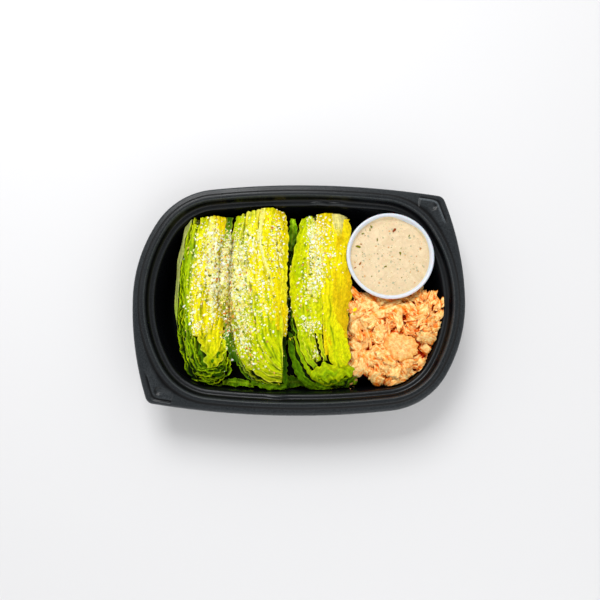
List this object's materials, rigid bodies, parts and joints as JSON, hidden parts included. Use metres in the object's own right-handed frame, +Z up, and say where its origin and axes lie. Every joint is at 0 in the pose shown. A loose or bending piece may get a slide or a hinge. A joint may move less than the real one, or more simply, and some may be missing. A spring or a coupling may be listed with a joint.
{
  "type": "salmon caesar salad in a take-out tray",
  "caption": "Romaine wedges, flaked salmon and a pot of creamy dressing in a black oval take-out tray with two corner tabs.",
  "frame": {"origin": "centre of the tray's footprint, on the surface it stands on", "axes": "+Z up, +X along the tray towards the pot and the salmon, +Y towards the lettuce stem ends"},
  "size_m": [0.24, 0.1684, 0.038],
  "materials": {
    "black_plastic": "satin moulded plastic",
    "white_plastic": "thin translucent white plastic",
    "cream_dressing": "smooth wet cream with herb specks",
    "romaine": "waxy cut leaf, pale ribs, sprinkled with grated cheese",
    "green_leaf": "waxy dark leaf",
    "salmon": "moist flaked cooked fish"
  },
  "bodies": {
    "root": {"tray": "black_plastic", "sauce_cup": "white_plastic", "dressing": "cream_dressing", "lettuce_left": "romaine", "lettuce_middle": "romaine", "lettuce_right": "romaine", "leaf_back": "green_leaf", "leaf_front_left": "green_leaf", "leaf_front_middle": "green_leaf", "leaf_front_right": "green_leaf", "salmon_heap": "salmon", "salmon_flake_front": "salmon", "salmon_flake_left": "salmon", "salmon_flake_right": "salmon"}
  },
  "joints": []
}
